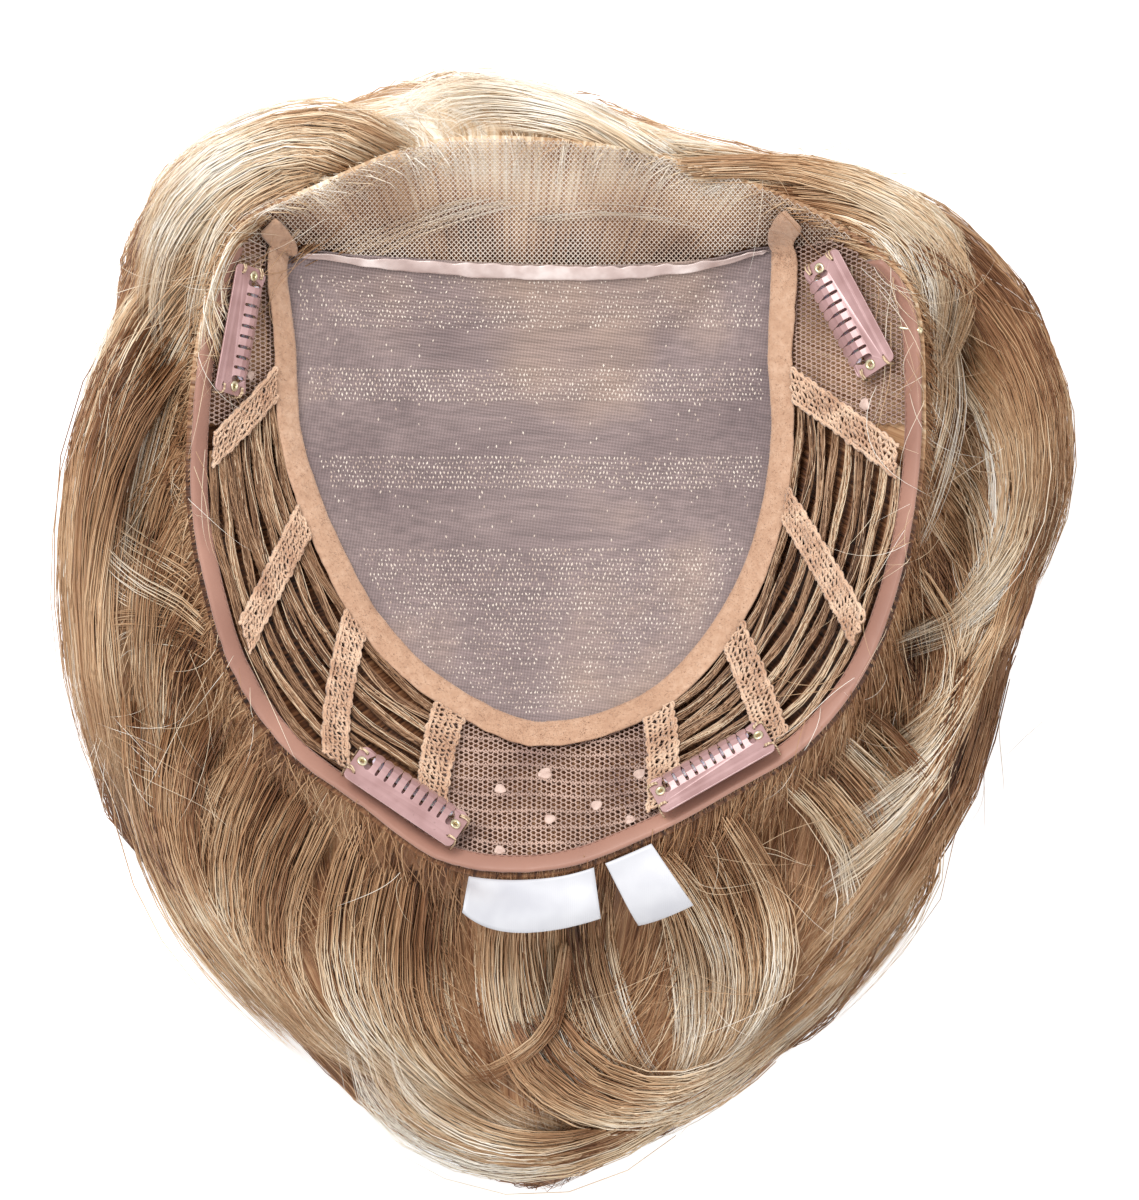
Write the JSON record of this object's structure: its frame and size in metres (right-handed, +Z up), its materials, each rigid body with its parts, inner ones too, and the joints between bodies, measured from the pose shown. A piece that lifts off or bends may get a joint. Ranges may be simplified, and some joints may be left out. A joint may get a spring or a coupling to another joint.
{
  "type": "wiglet",
  "caption": "Clip-in top hairpiece lying on its wavy hair with its bowl-shaped cap open upwards: fine mesh top, lace front, wefted sides, lace straps and snap combs.",
  "frame": {"origin": "on the table under the middle of the cap, on the flat underside of the hair", "axes": "+Z up out of the cap's open side, +Y towards the front hairline, +X to the right as seen from above"},
  "size_m": [0.2684, 0.2997, 0.0675],
  "materials": {
    "hair": "silky",
    "monofilament": "fine mesh",
    "lace": "sheer net",
    "strip": "translucent",
    "velour": "velour",
    "ribbon": "smooth",
    "net": "crochet lace",
    "weft": "twisted fibre",
    "enamel": "satin",
    "silicone": "clear",
    "brass": "polished",
    "satin": "satin"
  },
  "bodies": {
    "root": {"hair": "hair", "mono_top": "monofilament", "lace_front": "lace", "seam_strip": "strip", "velour_tape": "velour", "edge_ribbon": "ribbon", "net_left": "net", "net_nape": "net", "net_right": "net", "weft_left_1": "weft", "weft_left_2": "weft", "weft_left_3": "weft", "weft_left_4": "weft", "weft_left_5": "weft", "weft_left_6": "weft", "weft_left_7": "weft", "weft_left_8": "weft", "weft_left_9": "weft", "weft_right_1": "weft", "weft_right_2": "weft", "weft_right_3": "weft", "weft_right_4": "weft", "weft_right_5": "weft", "weft_right_6": "weft", "weft_right_7": "weft", "weft_right_8": "weft", "weft_right_9": "weft", "strap_left_1": "net", "strap_left_2": "net", "strap_left_3": "net", "strap_left_4": "net", "strap_right_4": "net", "strap_right_3": "net", "strap_right_2": "net", "strap_right_1": "net", "clip_front_left_comb": "enamel", "clip_front_left_bar": "enamel", "clip_front_left_grip": "silicone", "clip_front_left_rivet_a": "brass", "clip_front_left_rivet_b": "brass", "clip_front_right_comb": "enamel", "clip_front_right_bar": "enamel", "clip_front_right_grip": "silicone", "clip_front_right_rivet_a": "brass", "clip_front_right_rivet_b": "brass", "clip_nape_left_comb": "enamel", "clip_nape_left_bar": "enamel", "clip_nape_left_grip": "silicone", "clip_nape_left_rivet_a": "brass", "clip_nape_left_rivet_b": "brass", "clip_nape_right_comb": "enamel", "clip_nape_right_bar": "enamel", "clip_nape_right_grip": "silicone", "clip_nape_right_rivet_a": "brass", "clip_nape_right_rivet_b": "brass", "label_wide": "satin", "label_narrow": "satin"}
  },
  "joints": []
}
